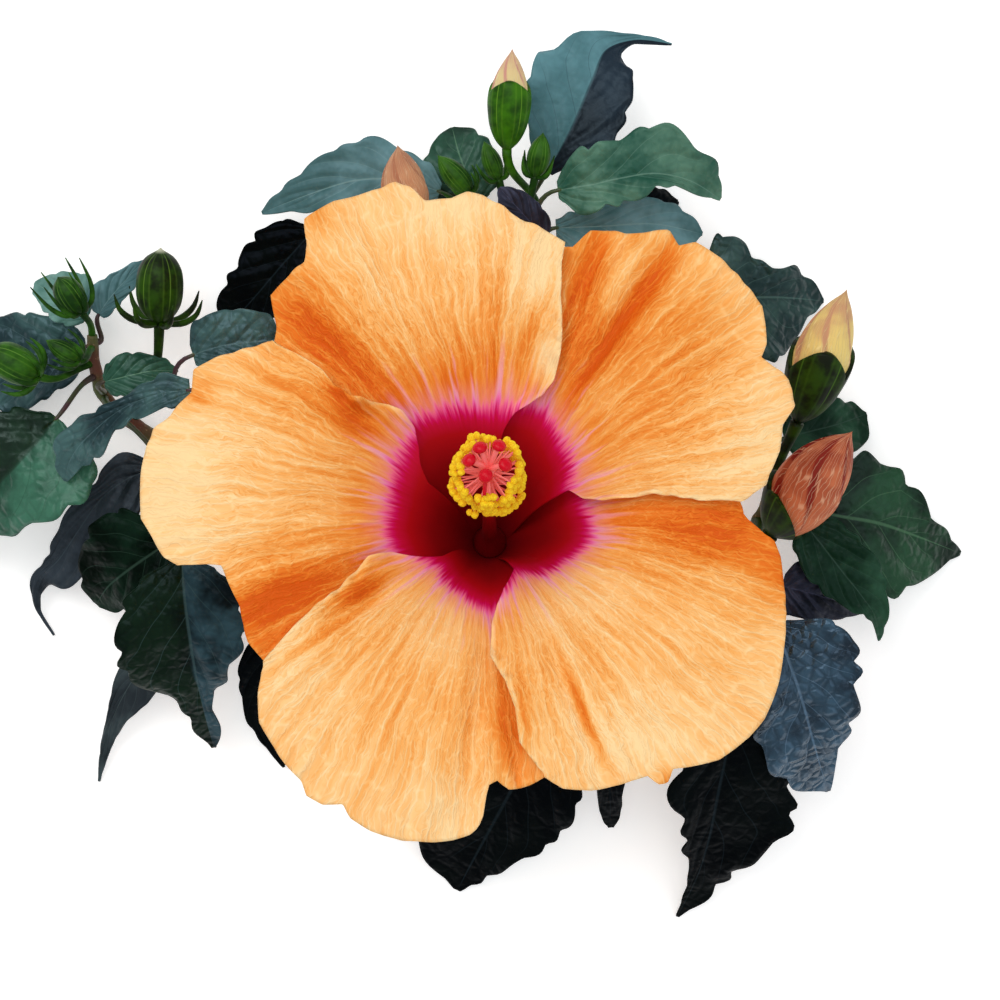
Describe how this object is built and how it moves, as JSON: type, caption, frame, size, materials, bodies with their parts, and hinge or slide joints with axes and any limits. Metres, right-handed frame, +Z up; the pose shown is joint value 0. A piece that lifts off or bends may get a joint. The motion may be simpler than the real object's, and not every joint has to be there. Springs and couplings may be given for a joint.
{
  "type": "cut flowering hibiscus branch",
  "caption": "Cut hibiscus branch lying with its open orange bloom facing up, among toothed dark green leaves and closed buds.",
  "frame": {"origin": "middle of the branch's footprint on the surface that it lies on", "axes": "+X across the branch to the right of the bloom, +Y along the main stem from its cut end to its tip, +Z up, the way the bloom faces"},
  "size_m": [0.2474, 0.2126, 0.0995],
  "materials": {
    "bark": "rough, grey-brown to red-brown",
    "leaf": "glossy dark green with blue-grey sheen",
    "bud_green": "satin green",
    "petal": "soft matt apricot orange with a crimson eye",
    "stamens": "matt yellow pollen on a crimson column"
  },
  "bodies": {
    "root": {"bloom_calyx": "bud_green", "bloom_pedicel": "bud_green", "bud_left": "bud_green", "bud_left_far": "bud_green", "bud_left_small": "bud_green", "bud_left_young": "bud_green", "bud_right_lower": "bud_green", "bud_right_upper": "bud_green", "bud_top": "bud_green", "bud_top_small_left": "bud_green", "bud_top_small_middle": "bud_green", "bud_top_small_right": "bud_green", "bud_under_petal": "bud_green", "column": "stamens", "leaf_bottom": "leaf", "leaf_bottom_small": "leaf", "leaf_left_back": "leaf", "leaf_left_far": "leaf", "leaf_left_front": "leaf", "leaf_left_inner": "leaf", "leaf_left_large": "leaf", "leaf_left_short": "leaf", "leaf_left_upper": "leaf", "leaf_low_left_broad": "leaf", "leaf_low_left_dark": "leaf", "leaf_low_left_hanging": "leaf", "leaf_low_left_narrow": "leaf", "leaf_low_left_under": "leaf", "leaf_low_right": "leaf", "leaf_right_back": "leaf", "leaf_right_blue": "leaf", "leaf_right_dark": "leaf", "leaf_right_front": "leaf", "leaf_right_large": "leaf", "leaf_top": "leaf", "leaf_top_dark": "leaf", "leaf_top_left": "leaf", "leaf_top_right": "leaf", "leaf_top_right_back": "leaf", "leaf_top_right_under": "leaf", "leaf_top_small": "leaf", "leaf_upper_left": "leaf", "leaf_upper_right": "leaf", "left_shoot": "bark", "main_stem": "bark", "petal_bottom": "petal", "petal_left": "petal", "petal_lower_right": "petal", "petal_top": "petal", "petal_upper_right": "petal", "right_shoot": "bark"}
  },
  "joints": []
}
